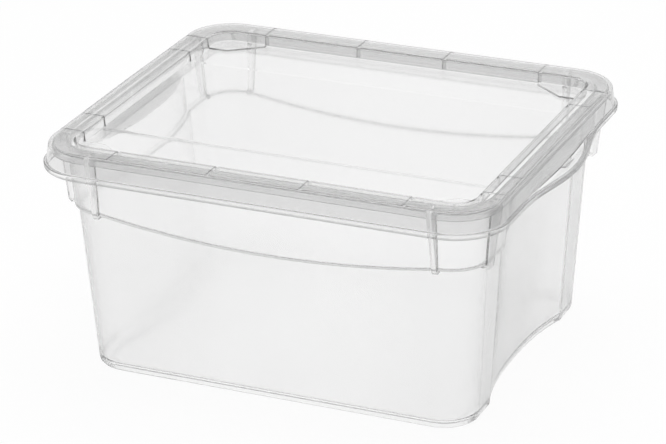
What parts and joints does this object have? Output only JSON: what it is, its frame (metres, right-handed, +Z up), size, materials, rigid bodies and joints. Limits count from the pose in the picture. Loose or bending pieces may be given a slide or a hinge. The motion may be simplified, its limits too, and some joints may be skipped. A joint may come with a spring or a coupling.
{
  "type": "storage box",
  "caption": "Translucent plastic storage box: a tapered tub with hollowed ends for the fingers, and a lift-off lid with a recessed panel that takes the foot of a box stacked on it.",
  "frame": {"origin": "on the ground under the middle of the box", "axes": "+X along the length towards one finger lip, +Y across the width, +Z up"},
  "size_m": [0.415, 0.332, 0.197],
  "materials": {
    "tub_plastic": "translucent natural polypropylene, smooth",
    "lid_plastic": "translucent natural polypropylene, smooth"
  },
  "bodies": {
    "tub": {"tub": "tub_plastic"},
    "lid": {"lid": "lid_plastic"}
  },
  "joints": [
    {"name": "lid_lift", "type": "slide", "parent": "tub", "child": "lid", "axis": [0, 0, 1], "range_m": [0, 0.25]}
  ]
}
